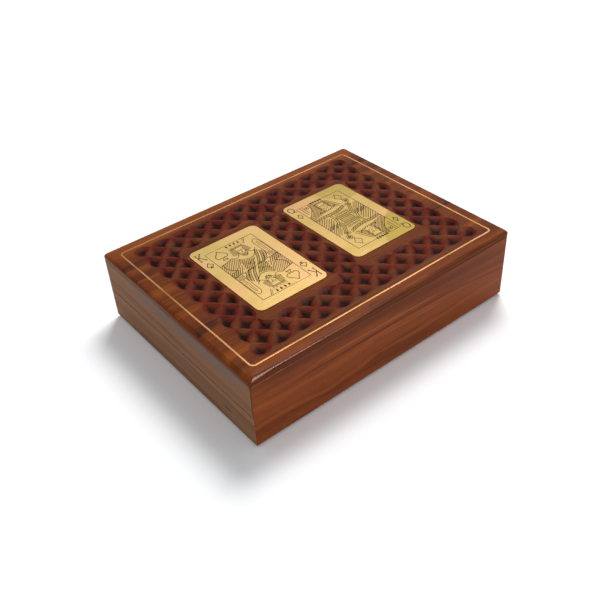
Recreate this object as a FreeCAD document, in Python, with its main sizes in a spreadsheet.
"""Wooden box for two decks of cards, with a carved and brass-inlaid top over a sliding drawer.

The box is a mitred frame of four boards under a thick top.  Each short side is split
along its length: the lower half belongs to the drawer, with the full-height front board,
and the upper half to the case, with the full-height back wall.  A dovetail rail under
each upper half runs in a groove in the lower half, so the drawer comes out forwards.

Frame: millimetres, +X along the length, -Y towards the front, +Z up, origin on the
table under the middle of the closed box.
"""
import FreeCAD, Part
import math
import os
import Sketcher

SIZES = [
    ("case_length", "152", "outside, along X"),
    ("case_depth", "117", "outside, along Y"),
    ("case_height", "38", "outside, along Z"),
    ("wall", "8", "thickness of the four frame boards"),
    ("edge_round", "2.5", "radius of the bottom edges"),
    ("top_round", "1.5", "radius of the top edges"),
    ("corner_round", "1.2", "radius of the upright corners"),
    ("edge_break", "0.3", "radius of the edges on both sides of a parting line"),
    ("lip_height", "3.2", "edge of the top that lies on the frame"),
    ("raft_height", "4.8", "middle of the top that hangs inside the frame"),
    ("slide_gap", "0.3", "clearance between the drawer and the case"),
    ("seam_height", "17.4", "top of the drawer sides above the table"),
    ("rail_neck", "3", "width of a rail in the case side and at the seam"),
    ("rail_foot", "4.4", "width of a rail at its lower end"),
    ("rail_set", "3", "depth that a rail is glued into the case side"),
    ("rail_drop", "3.4", "length of a rail below the case side"),
    ("rail_gap", "0.15", "clearance around a rail in its groove"),
    ("bottom_thickness", "8", "drawer bottom"),
    ("back_thickness", "6", "drawer back"),
    ("divider_thickness", "5", "board between the two decks"),
    ("divider_height", "16", "divider above the drawer bottom"),
    ("divider_round", "1.2", "radius of the divider's top edges"),
    ("housing_depth", "2", "depth that the divider is let into front and back"),
    ("felt_thickness", "1", "felt on the drawer bottom"),
    ("felt_margin", "0.4", "felt to the wood around it"),
    ("stop_height", "2", "drawer stop below the top"),
    ("stop_width", "8", "drawer stop along Y"),
    ("stop_margin", "10", "drawer stop to the case sides"),
    ("stop_setback", "6.4", "drawer stop behind the closed drawer front"),
    ("string_inset", "6", "edge of the top to the middle of the brass line"),
    ("string_width", "0.8", "brass line"),
    ("string_depth", "1.2", "brass line"),
    ("string_corner", "2", "bend radius of the brass line"),
    ("string_break", "0.4", "gap where the two ends of the brass line meet"),
    ("string_break_x", "4.2", "middle of that gap, on the front run"),
    ("inlay_gap", "0.08", "clearance around the brass in the wood"),
    ("plate_width", "38.5", "card plate along X"),
    ("plate_length", "57", "card plate along Y"),
    ("plate_thickness", "1", "card plate"),
    ("plate_proud", "0.2", "card plate above the wood"),
    ("plate_corner", "3.2", "corner radius of a card plate"),
    ("king_shift", "0.6", "king plate behind the middle of the box"),
    ("queen_shift", "1.6", "queen plate behind the middle of the box"),
    ("field_margin_x", "8", "brass line to the outer column of the carving"),
    ("field_margin_y", "5.5", "brass line to the outer row of the carving"),
    ("carve_depth", "2.2", "deepest point of a carved pit"),
    ("petal_width", "3", "raised petal between two pits"),
    ("tip_land", "0.35", "uncut wood from a pit's tip to the lattice point"),
    ("scallop", "2.2", "bulge of a pit that ends the carving"),
    ("corner_scallop", "2.8", "bulge of a pit at a corner of the carving"),
]

# The carving is a lattice of points; every second point is the middle of a pit.
COLUMNS = 23
ROWS = 17
BAND = 3
MIDDLE_COLUMN = (COLUMNS + 1) // 2
MIDDLE_ROW = (ROWS + 1) // 2
PLATE_COLUMNS_OFF_MIDDLE = 5

# Millimetres under which two edges of the top count as one.
TOUCHING = 0.001

# Places that several pieces share, as expressions on the sheet.
HALF_X = "(Sizes.case_length / 2)"
HALF_Y = "(Sizes.case_depth / 2)"
INNER_X = "(Sizes.case_length / 2 - Sizes.wall)"
INNER_Y = "(Sizes.case_depth / 2 - Sizes.wall)"
TOP_Z = "Sizes.case_height"
FRAME_TOP_Z = "(Sizes.case_height - Sizes.lip_height)"
RAFT_Z = f"({FRAME_TOP_Z} - Sizes.raft_height)"
CASE_SIDE_Z = "(Sizes.seam_height + Sizes.slide_gap)"
DRAWER_REAR_Y = f"({INNER_Y} - Sizes.slide_gap)"
BAY_REAR_Y = f"({DRAWER_REAR_Y} - Sizes.back_thickness)"
DIVIDER_TOP_Z = "(Sizes.bottom_thickness + Sizes.divider_height)"
RAIL_X = "(Sizes.case_length / 2 - Sizes.wall / 2)"
RAIL_BOTTOM_Z = f"({CASE_SIDE_Z} - Sizes.rail_drop)"
STRING_X = "(Sizes.case_length / 2 - Sizes.string_inset)"
STRING_Y = "(Sizes.case_depth / 2 - Sizes.string_inset)"
PITCH_X = f"(2 * ({STRING_X} - Sizes.field_margin_x) / {COLUMNS - 1})"
PITCH_Y = f"(2 * ({STRING_Y} - Sizes.field_margin_y) / {ROWS - 1})"
PLATE_X = f"({PLATE_COLUMNS_OFF_MIDDLE} * {PITCH_X})"

doc = FreeCAD.newDocument("card_box")
sheet = doc.addObject("Spreadsheet::Sheet", "Sizes")
for line_number, (alias, number, meaning) in enumerate(SIZES, start=1):
    sheet.set(f"A{line_number}", alias)
    sheet.set(f"B{line_number}", number)
    sheet.set(f"C{line_number}", meaning)
    sheet.setAlias(f"B{line_number}", alias)
doc.recompute()

nodes = []


def value(expression):
    """Number that an expression on the sheet gives now."""
    return float(sheet.evalExpression(expression))


def negative(expression):
    """The same place on the other side of the middle."""
    return f"(-1 * {expression})"


def mirrored(expression, side):
    """Expression for the right side (1) or for the left side (-1)."""
    return expression if side > 0 else negative(expression)


# ---------------------------------------------------------------- sketches and features

def new_body(label):
    """Empty body that becomes one piece of the box."""
    body = doc.addObject("PartDesign::Body", label)
    body.Label = label
    return body


def new_sketch(body, name, role, offset="0"):
    """Sketch on one of the body's own planes, moved along the plane's normal."""
    plane = next(item for item in body.Origin.OriginFeatures if item.Role == role)
    sketch = body.newObject("Sketcher::SketchObject", name)
    sketch.AttachmentSupport = (plane, [""])
    sketch.MapMode = "FlatFace"
    sketch.setExpression("AttachmentOffset.Base.z", offset)
    return sketch


def pin_point(sketch, geometry, end, place):
    """Hold one end of a line at a place given by two expressions."""
    for kind, expression in zip(("DistanceX", "DistanceY"), place):
        rule = Sketcher.Constraint(kind, -1, 1, geometry, end, value(expression))
        number = sketch.addConstraint(rule)
        sketch.setExpression(f"Constraints[{number}]", expression)


def outline(body, name, role, corners, offset="0"):
    """Closed outline of straight lines through corners given by expressions."""
    sketch = new_sketch(body, name, role, offset)
    points = [FreeCAD.Vector(value(x), value(y), 0) for x, y in corners]
    count = len(points)
    for index in range(count):
        following = points[(index + 1) % count]
        sketch.addGeometry(Part.LineSegment(points[index], following), False)
    for index in range(count):
        sketch.addConstraint(Sketcher.Constraint("Coincident", index, 2, (index + 1) % count, 1))
    for index, corner in enumerate(corners):
        pin_point(sketch, index, 1, corner)
    return sketch


def rectangle(low_x, high_x, low_y, high_y):
    """The four corners of a rectangle."""
    return [(low_x, low_y), (high_x, low_y), (high_x, high_y), (low_x, high_y)]


def pad(body, name, sketch, length):
    """Raise a sketch along its plane's normal."""
    feature = body.newObject("PartDesign::Pad", name)
    feature.Profile = sketch
    feature.setExpression("Length", length)
    doc.recompute()
    return feature


def pocket(body, name, sketch, length=None):
    """Cut a sketch out of the body: right through it, or up to a depth along the normal."""
    before = body.Shape.Volume
    feature = body.newObject("PartDesign::Pocket", name)
    feature.Profile = sketch
    if length is None:
        feature.Type = "ThroughAll"
        feature.Midplane = True
    else:
        feature.setExpression("Length", length)
        feature.Reversed = True
    doc.recompute()
    if body.Shape.Volume > before - 1e-6:
        raise RuntimeError(f"{body.Label}: {name} cuts nothing")
    return feature


def round_edge(body, name, role, corner, inward, radius):
    """Round the edge that runs along a plane's normal through a corner of that plane.

    The cutter is the corner square less a quarter disc: two lines from the corner and
    the arc that joins their ends.  inward holds the two directions into the wood.
    """
    x, y = corner
    along_x = (f"({x} + {inward[0]} * {radius})", y)
    along_y = (x, f"({y} + {inward[1]} * {radius})")
    spots = [FreeCAD.Vector(value(px), value(py), 0) for px, py in (corner, along_x, along_y)]
    centre = FreeCAD.Vector(spots[1].x, spots[2].y, 0)
    angle_x = math.radians(-90 * inward[1])
    angle_y = math.pi if inward[0] > 0 else 0.0
    turns_left = math.isclose((angle_y - angle_x) % (2 * math.pi), math.pi / 2)
    start, end = (angle_x, angle_y) if turns_left else (angle_y, angle_x)
    circle = Part.Circle(centre, FreeCAD.Vector(0, 0, 1), value(radius))
    sketch = new_sketch(body, f"{name}_sketch", role)
    sketch.addGeometry(Part.LineSegment(spots[0], spots[1]), False)
    sketch.addGeometry(Part.LineSegment(spots[2], spots[0]), False)
    sketch.addGeometry(Part.ArcOfCircle(circle, start, end), False)
    at_x, at_y = (1, 2) if turns_left else (2, 1)
    sketch.addConstraint(Sketcher.Constraint("Coincident", 0, 1, 1, 2))
    sketch.addConstraint(Sketcher.Constraint("Coincident", 0, 2, 2, at_x))
    sketch.addConstraint(Sketcher.Constraint("Coincident", 1, 1, 2, at_y))
    pin_point(sketch, 0, 1, corner)
    pin_point(sketch, 0, 2, along_x)
    pin_point(sketch, 1, 1, along_y)
    number = sketch.addConstraint(Sketcher.Constraint("Radius", 2, value(radius)))
    sketch.setExpression(f"Constraints[{number}]", radius)
    return pocket(body, name, sketch)


def round_uprights(body, name, corners, radius):
    """Fillet the upright edges that stand at the given corners."""
    base = body.Tip
    places = [(value(x), value(y)) for x, y in corners]
    chosen = []
    for number, edge in enumerate(base.Shape.Edges, start=1):
        ends = [vertex.Point for vertex in edge.Vertexes]
        if len(ends) != 2 or math.dist(ends[0][:2], ends[1][:2]) > 1e-6:
            continue
        if any(math.dist(ends[0][:2], place) < 1e-4 for place in places):
            chosen.append(f"Edge{number}")
    if len(chosen) != len(places):
        raise RuntimeError(f"{body.Label}: {name} finds {len(chosen)} of {len(places)} edges")
    feature = body.newObject("PartDesign::Fillet", name)
    feature.Base = (base, chosen)
    feature.setExpression("Radius", radius)
    doc.recompute()
    return feature


def plain_board(label, x_range, y_range, z_range):
    """Rectangular board between pairs of expressions."""
    board = doc.addObject("Part::Box", label)
    board.Label = label
    faces = zip(("Length", "Width", "Height"), "xyz", (x_range, y_range, z_range))
    for side, axis, (low, high) in faces:
        board.setExpression(side, f"{high} - {low}")
        board.setExpression(f"Placement.Base.{axis}", low)
    return board


# ---------------------------------------------------------------- the mitred frame

def long_board(label, facing, high_z):
    """Full-height board of the frame, mitred at both ends: front (-1) or back (1)."""
    body = new_body(label)
    outer_y = mirrored(HALF_Y, facing)
    inner_y = mirrored(INNER_Y, facing)
    corners = [
        (negative(HALF_X), outer_y), (HALF_X, outer_y),
        (INNER_X, inner_y), (negative(INNER_X), inner_y),
    ]
    pad(body, f"{label}_board", outline(body, f"{label}_plan", "XY_Plane", corners), high_z)
    round_edge(body, f"{label}_bottom_edge", "YZ_Plane",
               (outer_y, "0"), (-facing, 1), "Sizes.edge_round")
    round_edge(body, f"{label}_top_edge", "YZ_Plane",
               (outer_y, high_z), (-facing, -1), "Sizes.edge_break")
    for side, hand in ((-1, "left"), (1, "right")):
        round_edge(body, f"{label}_{hand}_corner", "XY_Plane",
                   (mirrored(HALF_X, side), outer_y), (-side, -facing), "Sizes.corner_round")
    return body


def side_board(label, side, y_shift_front, y_shift_rear, low_z, high_z):
    """Half of a short side, mitred at both ends; the shifts leave the sliding clearance."""
    body = new_body(label)
    outer_x = mirrored(HALF_X, side)
    inner_x = mirrored(INNER_X, side)
    corners = [
        (outer_x, f"({negative(HALF_Y)} + {y_shift_front})"),
        (outer_x, f"({HALF_Y} - {y_shift_rear})"),
        (inner_x, f"({INNER_Y} - {y_shift_rear})"),
        (inner_x, f"({negative(INNER_Y)} + {y_shift_front})"),
    ]
    plan = outline(body, f"{label}_plan", "XY_Plane", corners, low_z)
    pad(body, f"{label}_board", plan, f"{high_z} - {low_z}")
    for facing, end in ((-1, "front"), (1, "back")):
        round_edge(body, f"{label}_{end}_corner", "XY_Plane",
                   (outer_x, mirrored(HALF_Y, facing)), (-side, -facing), "Sizes.corner_round")
    return body


def rail_outline(side, gap):
    """Dovetail below the seam, in X and Z, grown by gap and open at the seam."""
    neck = f"(Sizes.rail_neck / 2 + {gap})"
    foot = f"(Sizes.rail_foot / 2 + {gap})"
    middle = mirrored(RAIL_X, side)
    bottom = f"({RAIL_BOTTOM_Z} - {gap})"
    return [
        (f"({middle} - {foot})", bottom), (f"({middle} + {foot})", bottom),
        (f"({middle} + {neck})", CASE_SIDE_Z), (f"({middle} - {neck})", CASE_SIDE_Z),
    ]


def drawer_side(side, hand):
    """Lower half of a short side, with the groove that a rail runs in."""
    label = f"drawer_side_{hand}"
    body = side_board(label, side, "0", "Sizes.slide_gap", "0", "Sizes.seam_height")
    outer_x = mirrored(HALF_X, side)
    round_edge(body, f"{label}_bottom_edge", "XZ_Plane",
               (outer_x, "0"), (-side, 1), "Sizes.edge_round")
    round_edge(body, f"{label}_seam_edge", "XZ_Plane",
               (outer_x, "Sizes.seam_height"), (-side, -1), "Sizes.edge_break")
    groove = outline(body, f"{label}_groove", "XZ_Plane", rail_outline(side, "Sizes.rail_gap"))
    pocket(body, f"{label}_groove_cut", groove)
    return body


def case_side(side, hand):
    """Upper half of a short side, with the groove that holds its rail."""
    label = f"case_side_{hand}"
    body = side_board(label, side, "Sizes.slide_gap", "0", CASE_SIDE_Z, FRAME_TOP_Z)
    outer_x = mirrored(HALF_X, side)
    round_edge(body, f"{label}_seam_edge", "XZ_Plane",
               (outer_x, CASE_SIDE_Z), (-side, 1), "Sizes.edge_break")
    round_edge(body, f"{label}_top_edge", "XZ_Plane",
               (outer_x, FRAME_TOP_Z), (-side, -1), "Sizes.edge_break")
    middle = mirrored(RAIL_X, side)
    slot = rectangle(f"({middle} - Sizes.rail_neck / 2)", f"({middle} + Sizes.rail_neck / 2)",
                     CASE_SIDE_Z, f"({CASE_SIDE_Z} + Sizes.rail_set)")
    pocket(body, f"{label}_slot_cut", outline(body, f"{label}_slot", "XZ_Plane", slot))
    return body


def slide_rail(side, hand):
    """Rail glued into the case side, with its dovetail foot in the drawer side's groove."""
    label = f"slide_rail_{hand}"
    body = new_body(label)
    middle = mirrored(RAIL_X, side)
    foot_left, foot_right, neck_right, neck_left = rail_outline(side, "0")
    top = f"({CASE_SIDE_Z} + Sizes.rail_set)"
    corners = [
        foot_left, foot_right, neck_right,
        (f"({middle} + Sizes.rail_neck / 2)", top), (f"({middle} - Sizes.rail_neck / 2)", top),
        neck_left,
    ]
    profile = outline(body, f"{label}_profile", "XZ_Plane", corners, negative(INNER_Y))
    pad(body, f"{label}_strip", profile, f"2 * {INNER_Y} - Sizes.slide_gap")
    return body


# ---------------------------------------------------------------- the drawer

def divider_plan():
    """Corners of the divider seen from above, reaching into its two housings."""
    return rectangle(
        "(-1 * Sizes.divider_thickness / 2)", "(Sizes.divider_thickness / 2)",
        f"({negative(INNER_Y)} - Sizes.housing_depth)", f"({BAY_REAR_Y} + Sizes.housing_depth)",
    )


def cut_housing(body, label):
    """Groove that takes one end of the divider."""
    plan = outline(body, f"{label}_housing", "XY_Plane", divider_plan(), "Sizes.bottom_thickness")
    pocket(body, f"{label}_housing_cut", plan, "Sizes.divider_height")


def drawer_front():
    """Full-height front board that the drawer is pulled by."""
    body = long_board("drawer_front", -1, f"({FRAME_TOP_Z} - Sizes.slide_gap)")
    cut_housing(body, "drawer_front")
    return body


def drawer_back():
    """Back of the drawer, narrower above the seam where it passes between the case sides."""
    body = new_body("drawer_back")
    upper_x = f"({INNER_X} - Sizes.slide_gap)"
    top_z = f"({RAFT_Z} - Sizes.slide_gap)"
    corners = [
        (negative(INNER_X), "Sizes.bottom_thickness"), (INNER_X, "Sizes.bottom_thickness"),
        (INNER_X, "Sizes.seam_height"), (upper_x, "Sizes.seam_height"),
        (upper_x, top_z), (negative(upper_x), top_z),
        (negative(upper_x), "Sizes.seam_height"), (negative(INNER_X), "Sizes.seam_height"),
    ]
    profile = outline(body, "drawer_back_profile", "XZ_Plane", corners, negative(DRAWER_REAR_Y))
    pad(body, "drawer_back_board", profile, "Sizes.back_thickness")
    cut_housing(body, "drawer_back")
    return body


def divider():
    """Board between the two decks, with its top edges eased."""
    body = new_body("divider")
    plan = outline(body, "divider_plan", "XY_Plane", divider_plan(), "Sizes.bottom_thickness")
    pad(body, "divider_board", plan, "Sizes.divider_height")
    for side, hand in ((-1, "left"), (1, "right")):
        edge_x = mirrored("(Sizes.divider_thickness / 2)", side)
        round_edge(body, f"divider_{hand}_edge", "XZ_Plane",
                   (edge_x, DIVIDER_TOP_Z), (-side, -1), "Sizes.divider_round")
    return body


def felt(side, hand):
    """Felt that lines the bottom of one bay."""
    near_x = "(Sizes.divider_thickness / 2 + Sizes.felt_margin)"
    far_x = f"({INNER_X} - Sizes.felt_margin)"
    x_range = (near_x, far_x) if side > 0 else (negative(far_x), negative(near_x))
    y_range = (f"({negative(INNER_Y)} + Sizes.felt_margin)", f"({BAY_REAR_Y} - Sizes.felt_margin)")
    z_range = ("Sizes.bottom_thickness", "(Sizes.bottom_thickness + Sizes.felt_thickness)")
    return plain_board(f"felt_{hand}", x_range, y_range, z_range)


def drawer_bottom():
    """Bottom board between the four sides of the drawer, flush with their lower edges."""
    y_range = (negative(INNER_Y), DRAWER_REAR_Y)
    z_range = ("0", "Sizes.bottom_thickness")
    return plain_board("drawer_bottom", (negative(INNER_X), INNER_X), y_range, z_range)


def drawer_stop():
    """Strip under the top that the drawer back meets when the drawer is fully out."""
    front_y = f"({negative(INNER_Y)} + Sizes.stop_setback)"
    reach_x = f"({INNER_X} - Sizes.stop_margin)"
    y_range = (front_y, f"({front_y} + Sizes.stop_width)")
    z_range = (f"({RAFT_Z} - Sizes.stop_height)", RAFT_Z)
    return plain_board("drawer_stop", (negative(reach_x), reach_x), y_range, z_range)


# ---------------------------------------------------------------- the brass

def string_loop(label, grow, depth):
    """Flat brass line bent round the top in a rounded rectangle, or the groove for it."""
    body = new_body(label)
    bottom = f"({TOP_Z} - {depth})"
    for name, sign in (("outer", "+"), ("inner", "-")):
        half = f"{sign} (Sizes.string_width / 2 + {grow})"
        reach_x = f"({STRING_X} {half})"
        reach_y = f"({STRING_Y} {half})"
        corners = rectangle(negative(reach_x), reach_x, negative(reach_y), reach_y)
        plan = outline(body, f"{label}_{name}", "XY_Plane", corners, bottom)
        if sign == "+":
            pad(body, f"{label}_plate", plan, depth)
        else:
            pocket(body, f"{label}_opening", plan)
        round_uprights(body, f"{label}_{name}_bends", corners, f"Sizes.string_corner {half}")
    return body


def brass_stringing():
    """The brass line itself, with the small gap between its two ends on the front run."""
    body = string_loop("brass_stringing", "0", "Sizes.string_depth")
    half_gap = "Sizes.string_break / 2"
    gap = rectangle(
        f"(Sizes.string_break_x - {half_gap})", f"(Sizes.string_break_x + {half_gap})",
        f"({negative(STRING_Y)} - Sizes.string_width)", f"({negative(STRING_Y)} + Sizes.string_width)",
    )
    pocket(body, "brass_stringing_gap", outline(body, "brass_stringing_ends", "XY_Plane", gap))
    return body


def card_plate(label, side, shift, grow, low_z, high_z):
    """Plate with the outline of a playing card, or the recess for it."""
    body = new_body(label)
    middle_x = mirrored(PLATE_X, side)
    half_x = f"(Sizes.plate_width / 2 + {grow})"
    half_y = f"(Sizes.plate_length / 2 + {grow})"
    corners = rectangle(f"({middle_x} - {half_x})", f"({middle_x} + {half_x})",
                        f"({shift} - {half_y})", f"({shift} + {half_y})")
    plan = outline(body, f"{label}_plan", "XY_Plane", corners, low_z)
    pad(body, f"{label}_blank", plan, f"{high_z} - {low_z}")
    round_uprights(body, f"{label}_corners", corners, f"Sizes.plate_corner + {grow}")
    return body


# ---------------------------------------------------------------- the carved top

def is_carved(column, row):
    """True for a lattice point in one of the carved bands around the two plates."""
    if not (1 <= column <= COLUMNS and 1 <= row <= ROWS):
        return False
    in_side_band = column <= BAND or column > COLUMNS - BAND
    in_middle_band = abs(column - MIDDLE_COLUMN) <= BAND // 2
    in_row_band = row <= BAND or row > ROWS - BAND
    return in_side_band or in_middle_band or in_row_band


def pit_side(middle, tips, first, second):
    """Edge of a pit between two of its tips, which point along first and second.

    Neighbouring tips are joined by an arc that leaves half a petal on the lattice line.
    Where the tips between them are left out, the arc bulges outwards: the scallop that
    ends the carving, or the larger one that goes round a corner of it.
    """
    start, end = tips[first], tips[second]
    cross = first[0] * second[1] - first[1] * second[0]
    if cross > 0:
        step = FreeCAD.Vector(first[0] + second[0], first[1] + second[1], 0)
        half = FreeCAD.Vector(step.x * value(PITCH_X) / 2, step.y * value(PITCH_Y) / 2, 0)
        across = FreeCAD.Vector(step.x * value(PITCH_Y), step.y * value(PITCH_X), 0).normalize()
        through = middle + half - across * (value("Sizes.petal_width") / 2)
    elif cross == 0:
        outward = FreeCAD.Vector(-first[1], first[0], 0)
        through = middle + outward * value("Sizes.scallop")
    else:
        outward = FreeCAD.Vector(-first[0] - second[0], -first[1] - second[1], 0).normalize()
        through = middle + outward * value("Sizes.corner_scallop")
    return Part.Arc(start, through, end).toShape()


def carved_pit(column, row):
    """Pit as a solid: a star-shaped rim that tapers down to the deepest point."""
    top = value(TOP_Z)
    middle = FreeCAD.Vector((column - MIDDLE_COLUMN) * value(PITCH_X),
                            (row - MIDDLE_ROW) * value(PITCH_Y), top)
    reach_x = value(PITCH_X) - value("Sizes.tip_land")
    reach_y = value(PITCH_Y) - value("Sizes.tip_land")
    directions = [(1, 0), (0, 1), (-1, 0), (0, -1)]
    kept = [way for way in directions if is_carved(column + way[0], row + way[1])]
    tips = {way: middle + FreeCAD.Vector(way[0] * reach_x, way[1] * reach_y, 0) for way in kept}
    sides = [
        pit_side(middle, tips, way, kept[(index + 1) % len(kept)])
        for index, way in enumerate(kept)
    ]
    rim = Part.Wire(sides)
    deepest = Part.Vertex(middle - FreeCAD.Vector(0, 0, value("Sizes.carve_depth")))
    return Part.makeLoft([rim, deepest], True, True)


def carving():
    """All pits of the carving, one solid each."""
    return [
        carved_pit(column, row)
        for column in range(1, COLUMNS + 1)
        for row in range(1, ROWS + 1)
        if is_carved(column, row) and (column + row) % 2 == 0
    ]


def highest_faces(solid):
    """The faces of a solid that lie level with its highest point."""
    top = solid.BoundBox.ZMax
    return [face for face in solid.Faces if top - face.CenterOfMass.z < TOUCHING]


def touches(face, edges):
    """True where a face meets one of the edges."""
    return any(
        face.BoundBox.intersect(edge.BoundBox) and face.distToShape(edge)[0] < TOUCHING
        for edge in edges
    )


def carve(board, pits):
    """Board with the pits in its top.

    A pit that runs into another cut is taken out as a boolean.  The others are set into
    the top faces, which get a hole for each rim and the pits' own facets to close them.
    """
    lids = [highest_faces(pit)[0] for pit in pits]
    edges = [edge for face in highest_faces(board) for edge in face.Edges]
    crossing = [touches(lid, edges) for lid in lids]
    if any(crossing):
        board = board.cut([pit for pit, crosses in zip(pits, crossing) if crosses])
    clear = [(pit, lid) for pit, lid, crosses in zip(pits, lids, crossing) if not crosses]
    skin = [face for pit, lid in clear for face in pit.Faces if not face.isSame(lid)]
    tops = highest_faces(board)
    for top in tops:
        rims = [
            lid.OuterWire for pit, lid in clear
            if top.isInside(lid.Vertexes[0].Point, TOUCHING, True)
        ]
        skin.append(Part.makeFace(top.Wires + rims, "Part::FaceMakerBullseye"))
    skin += [face for face in board.Faces if not any(face.isSame(top) for top in tops)]
    shell = Part.makeCompound(skin)
    shell.sewShape()
    return Part.Solid(shell.Shells[0])


def top_blank():
    """Top before it is carved: a lip that covers the frame and a raft that hangs in it."""
    body = new_body("top_blank")
    lip = outline(body, "top_lip_plan", "XY_Plane",
                  rectangle(negative(HALF_X), HALF_X, negative(HALF_Y), HALF_Y), FRAME_TOP_Z)
    pad(body, "top_lip", lip, "Sizes.lip_height")
    raft = outline(body, "top_raft_plan", "XY_Plane",
                   rectangle(negative(INNER_X), INNER_X,
                             f"({negative(INNER_Y)} + Sizes.slide_gap)", INNER_Y), RAFT_Z)
    pad(body, "top_raft", raft, "Sizes.raft_height")
    edges = (("top", TOP_Z, -1, "Sizes.top_round"), ("lip", FRAME_TOP_Z, 1, "Sizes.edge_break"))
    for name, height, upward, radius in edges:
        for side in (-1, 1):
            round_edge(body, f"{name}_edge_x{side + 1}", "XZ_Plane",
                       (mirrored(HALF_X, side), height), (-side, upward), radius)
            round_edge(body, f"{name}_edge_y{side + 1}", "YZ_Plane",
                       (mirrored(HALF_Y, side), height), (-side, upward), radius)
    for side in (-1, 1):
        for facing in (-1, 1):
            round_edge(body, f"top_corner_{side + 1}{facing + 1}", "XY_Plane",
                       (mirrored(HALF_X, side), mirrored(HALF_Y, facing)), (-side, -facing),
                       "Sizes.corner_round")
    return body


def top_panel():
    """Carved top with the groove for the brass line and the recesses for the plates."""
    floor_z = f"({TOP_Z} + Sizes.plate_proud - Sizes.plate_thickness)"
    cutters = [
        string_loop("string_groove", "Sizes.inlay_gap", "Sizes.string_depth"),
        card_plate("king_recess", -1, "Sizes.king_shift", "Sizes.inlay_gap", floor_z, TOP_Z),
        card_plate("queen_recess", 1, "Sizes.queen_shift", "Sizes.inlay_gap", floor_z, TOP_Z),
    ]
    tools = doc.addObject("Part::Compound", "top_cutters")
    tools.Links = cutters
    board = doc.addObject("Part::Cut", "top_board")
    board.Base = top_blank()
    board.Tool = tools
    doc.recompute()
    panel = doc.addObject("Part::Feature", "top_panel")
    panel.Label = "top_panel"
    panel.Shape = carve(board.Shape, carving())
    return panel


def build_case():
    """Pieces that stay put while the drawer slides."""
    low_z = f"({TOP_Z} + Sizes.plate_proud - Sizes.plate_thickness)"
    high_z = f"({TOP_Z} + Sizes.plate_proud)"
    nodes.append(top_panel())
    nodes.append(brass_stringing())
    nodes.append(card_plate("king_plate", -1, "Sizes.king_shift", "0", low_z, high_z))
    nodes.append(card_plate("queen_plate", 1, "Sizes.queen_shift", "0", low_z, high_z))
    nodes.append(long_board("back_wall", 1, FRAME_TOP_Z))
    nodes.append(drawer_stop())
    for side, hand in ((-1, "left"), (1, "right")):
        nodes.append(case_side(side, hand))
        nodes.append(slide_rail(side, hand))


def build_drawer():
    """Pieces that slide out together."""
    nodes.append(drawer_front())
    nodes.append(drawer_back())
    nodes.append(drawer_bottom())
    nodes.append(divider())
    for side, hand in ((-1, "left"), (1, "right")):
        nodes.append(drawer_side(side, hand))
        nodes.append(felt(side, hand))


def check_and_export():
    """Stop on any failed feature or shape, then write one STEP file for each piece."""
    doc.recompute()
    for item in doc.Objects:
        if {"Invalid", "Error"} & set(item.State):
            raise RuntimeError(f"{item.Label} did not build: {item.State}")
    for node in nodes:
        if node.Shape.isNull() or not node.Shape.isValid() or len(node.Shape.Solids) != 1:
            raise RuntimeError(f"{node.Label} is not one valid solid")
    os.makedirs("parts", exist_ok=True)
    for node in nodes:
        node.Shape.exportStep(f"parts/{node.Label}.step")
        box = node.Shape.BoundBox
        print(f"{node.Label:20s} {box.XLength:8.2f} {box.YLength:8.2f} {box.ZLength:8.2f}"
              f"  {node.Shape.Volume:10.1f} mm3")


build_case()
build_drawer()
check_and_export()
